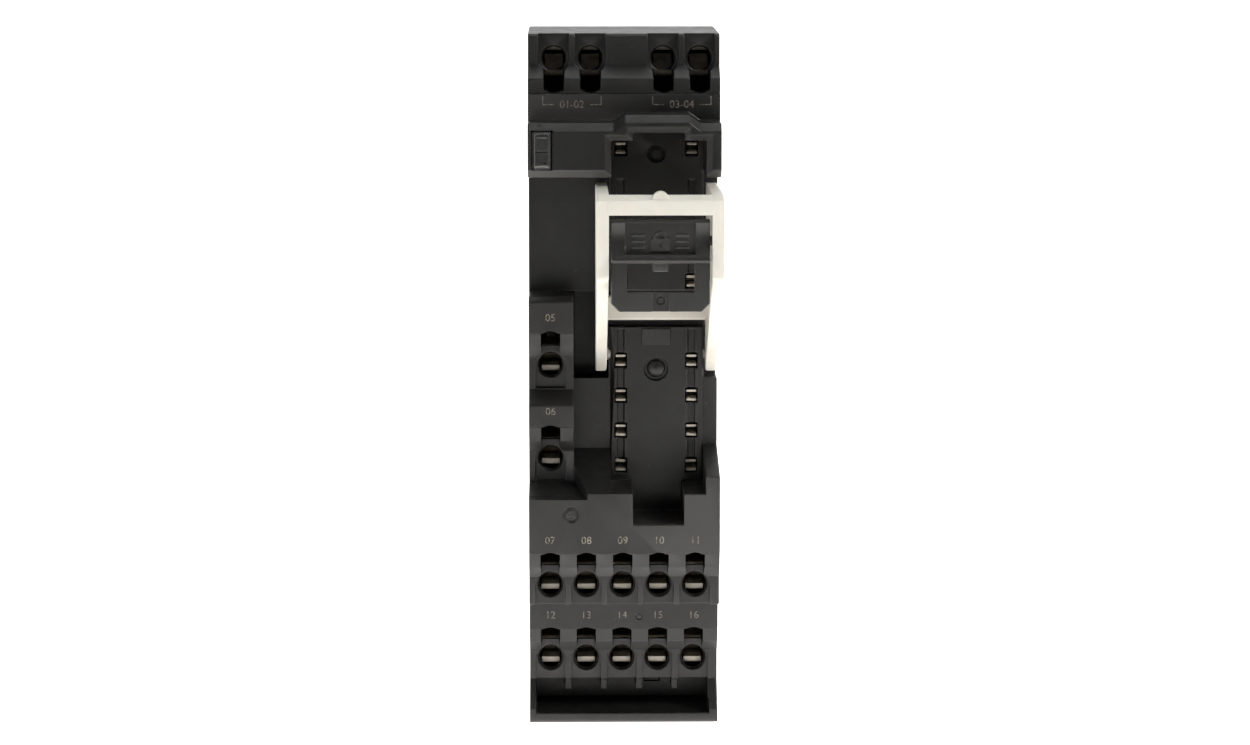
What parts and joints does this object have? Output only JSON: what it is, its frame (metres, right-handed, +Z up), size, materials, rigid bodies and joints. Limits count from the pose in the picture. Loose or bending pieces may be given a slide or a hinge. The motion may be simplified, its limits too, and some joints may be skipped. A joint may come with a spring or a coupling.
{
  "type": "relay socket with retaining clip",
  "caption": "Upright rail socket for a slim plug-in relay, with stepped push-in terminals, an open relay pocket, a status window and a swing retaining clip with a lock lever.",
  "frame": {"origin": "middle of the rail seat, the rear face that rests on the front of a 35 mm rail", "axes": "+X right, +Y back toward the rail, +Z up, as mounted on a horizontal rail"},
  "size_m": [0.027, 0.0443, 0.099],
  "materials": {
    "charcoal": "fine-grained charcoal polyamide moulding, satin",
    "charcoal_dark": "charcoal polyamide foot, satin",
    "cream": "cream polyamide, satin, slightly translucent",
    "lever_grey": "dark grey polyamide, satin",
    "tin": "tin-plated copper alloy stamping",
    "spring_steel": "rolled stainless spring steel",
    "smoke": "smoke-tinted clear polycarbonate, polished",
    "board": "solder-masked glass epoxy board",
    "lamp": "clear lamp resin over a phosphor",
    "resistor": "glazed chip resistor"
  },
  "bodies": {
    "socket": {"housing_front": "charcoal", "housing_base": "charcoal", "led_lens": "smoke", "led_board": "board", "led_lamp": "lamp", "led_resistor": "resistor", "rail_latch_spring": "spring_steel", "conductor_a1": "tin", "conductor_a2": "tin", "conductor_01": "tin", "conductor_02": "tin", "conductor_03": "tin", "conductor_04": "tin", "conductor_05": "tin", "conductor_06": "tin", "conductor_07": "tin", "conductor_08": "tin", "conductor_09": "tin", "conductor_10": "tin", "conductor_11": "tin", "conductor_12": "tin", "clamp_spring_01": "spring_steel", "clamp_spring_02": "spring_steel", "clamp_spring_03": "spring_steel", "clamp_spring_04": "spring_steel", "clamp_spring_05": "spring_steel", "clamp_spring_06": "spring_steel", "clamp_spring_07": "spring_steel", "clamp_spring_08": "spring_steel", "clamp_spring_09": "spring_steel", "clamp_spring_10": "spring_steel", "clamp_spring_11": "spring_steel", "clamp_spring_12": "spring_steel", "clamp_spring_13": "spring_steel", "clamp_spring_14": "spring_steel", "clamp_spring_15": "spring_steel", "clamp_spring_16": "spring_steel"},
    "foot": {"rail_latch": "charcoal_dark"},
    "clip": {"retaining_clip": "cream"},
    "lever": {"lock_lever": "lever_grey"}
  },
  "joints": [
    {"name": "clip_swing", "type": "hinge", "parent": "socket", "child": "clip", "pos_m": [0.00471, -0.0114, 0.0023], "axis": [1, 0, 0], "range_deg": [0, 50]},
    {"name": "lever_tilt", "type": "hinge", "parent": "clip", "child": "lever", "pos_m": [0.00471, -0.0377, 0.0213], "axis": [-1, 0, 0], "range_deg": [0, 15]},
    {"name": "foot_slide", "type": "slide", "parent": "socket", "child": "foot", "axis": [0, 0, -1], "range_m": [0, 0.0025], "stiffness_N_per_m": 1500, "springref_m": -0.003, "deforming": ["rail_latch_spring"]}
  ]
}
